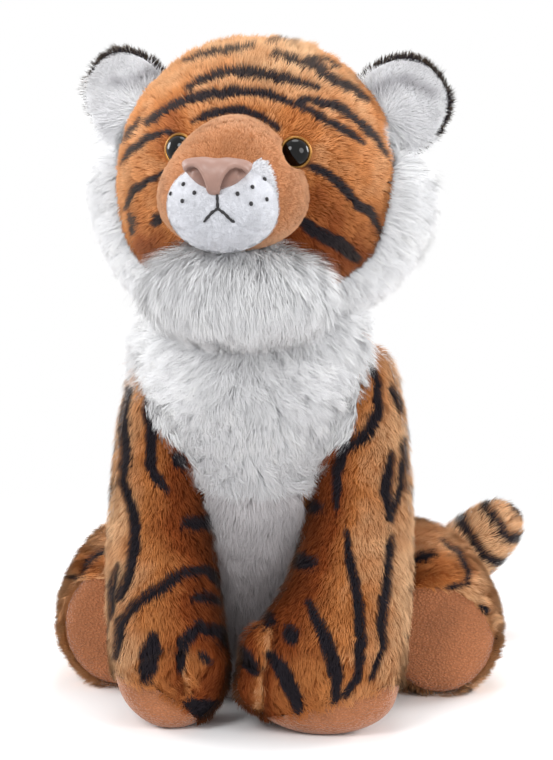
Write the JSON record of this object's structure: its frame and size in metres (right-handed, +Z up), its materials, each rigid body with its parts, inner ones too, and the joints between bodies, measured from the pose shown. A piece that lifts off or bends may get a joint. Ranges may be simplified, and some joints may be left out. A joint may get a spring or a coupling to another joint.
{
  "type": "plush tiger",
  "caption": "Sitting plush tiger with a white bib and ruff, moulded nose, safety eyes, and sewn joints at the neck, ears, legs and tail.",
  "frame": {"origin": "centre of the flat seat that the tiger sits on", "axes": "+Z is up from the floor, the tiger faces -Y, and its own left side is at +X"},
  "size_m": [0.2357, 0.2222, 0.3225],
  "materials": {
    "plush_orange": "long pile, brushed",
    "plush_white": "long pile, brushed",
    "plush_grey": "short pile",
    "plush_brown": "short velvet pile",
    "suede": "brushed suede cloth",
    "polyester_filling": "loose fibre",
    "pouch_cloth": "plain weave",
    "moulded_nose": "satin",
    "eye": "gloss",
    "washer": "natural"
  },
  "bodies": {
    "torso": {"torso_skin": "plush_orange", "chest_bib": "plush_white", "belly_panel": "plush_grey", "torso_stuffing": "polyester_filling", "bean_pouch": "pouch_cloth"},
    "neck": {"neck_stuffing": "polyester_filling"},
    "head": {"head_skin": "plush_orange", "head_stuffing": "polyester_filling", "muzzle_skin": "plush_brown", "snout_skin": "plush_white", "muzzle_stuffing": "polyester_filling", "left_eye": "eye", "left_eye_washer": "washer", "right_eye": "eye", "right_eye_washer": "washer", "nose": "moulded_nose", "nose_washer": "washer", "chin_ruff": "plush_white", "left_cheek_ruff": "plush_white", "right_cheek_ruff": "plush_white"},
    "left_ear": {"left_ear_back": "plush_orange", "left_ear_lining": "plush_white"},
    "right_ear": {"right_ear_back": "plush_orange", "right_ear_lining": "plush_white"},
    "left_front_leg": {"left_front_leg_skin": "plush_orange", "left_front_paw_sole": "suede", "left_front_leg_stuffing": "polyester_filling"},
    "right_front_leg": {"right_front_leg_skin": "plush_orange", "right_front_paw_sole": "suede", "right_front_leg_stuffing": "polyester_filling"},
    "left_hind_leg": {"left_hind_leg_skin": "plush_orange", "left_hind_foot_sole": "suede", "left_hind_leg_stuffing": "polyester_filling"},
    "right_hind_leg": {"right_hind_leg_skin": "plush_orange", "right_hind_foot_sole": "suede", "right_hind_leg_stuffing": "polyester_filling"},
    "tail": {"tail_skin": "plush_orange", "tail_stuffing": "polyester_filling"}
  },
  "joints": [
    {"name": "neck_nod", "type": "hinge", "parent": "torso", "child": "neck", "pos_m": [0, -0.002, 0.196], "axis": [1, 0, 0], "range_deg": [-8, 10], "stiffness_Nm_per_rad": 0.6},
    {"name": "head_turn", "type": "hinge", "parent": "neck", "child": "head", "pos_m": [0, -0.002, 0.196], "axis": [0, 0, 1], "range_deg": [-25, 25], "stiffness_Nm_per_rad": 0.3},
    {"name": "left_ear_fold", "type": "hinge", "parent": "head", "child": "left_ear", "pos_m": [0.06071, -0.0047, 0.28353], "axis": [0.6416, 0.0392, -0.766], "range_deg": [-18, 18], "stiffness_Nm_per_rad": 0.05},
    {"name": "right_ear_fold", "type": "hinge", "parent": "head", "child": "right_ear", "pos_m": [-0.0526, 0.0163, 0.28353], "axis": [0.5849, -0.2666, 0.766], "range_deg": [-18, 18], "stiffness_Nm_per_rad": 0.05},
    {"name": "left_front_leg_raise", "type": "hinge", "parent": "torso", "child": "left_front_leg", "pos_m": [0.05, 0.004, 0.176], "axis": [-1, 0, 0], "range_deg": [0, 35], "stiffness_Nm_per_rad": 0.6},
    {"name": "right_front_leg_raise", "type": "hinge", "parent": "torso", "child": "right_front_leg", "pos_m": [-0.05, 0.004, 0.176], "axis": [-1, 0, 0], "range_deg": [0, 35], "stiffness_Nm_per_rad": 0.6},
    {"name": "left_hind_leg_lift", "type": "hinge", "parent": "torso", "child": "left_hind_leg", "pos_m": [0.0595, 0.044, 0.03], "axis": [-1, 0, 0], "range_deg": [0, 22], "stiffness_Nm_per_rad": 0.6},
    {"name": "right_hind_leg_lift", "type": "hinge", "parent": "torso", "child": "right_hind_leg", "pos_m": [-0.0595, 0.044, 0.03], "axis": [-1, 0, 0], "range_deg": [0, 22], "stiffness_Nm_per_rad": 0.6},
    {"name": "tail_swing", "type": "hinge", "parent": "torso", "child": "tail", "pos_m": [0.004, 0.07, 0.032], "axis": [0, 0, 1], "range_deg": [0, 30], "stiffness_Nm_per_rad": 0.2}
  ]
}
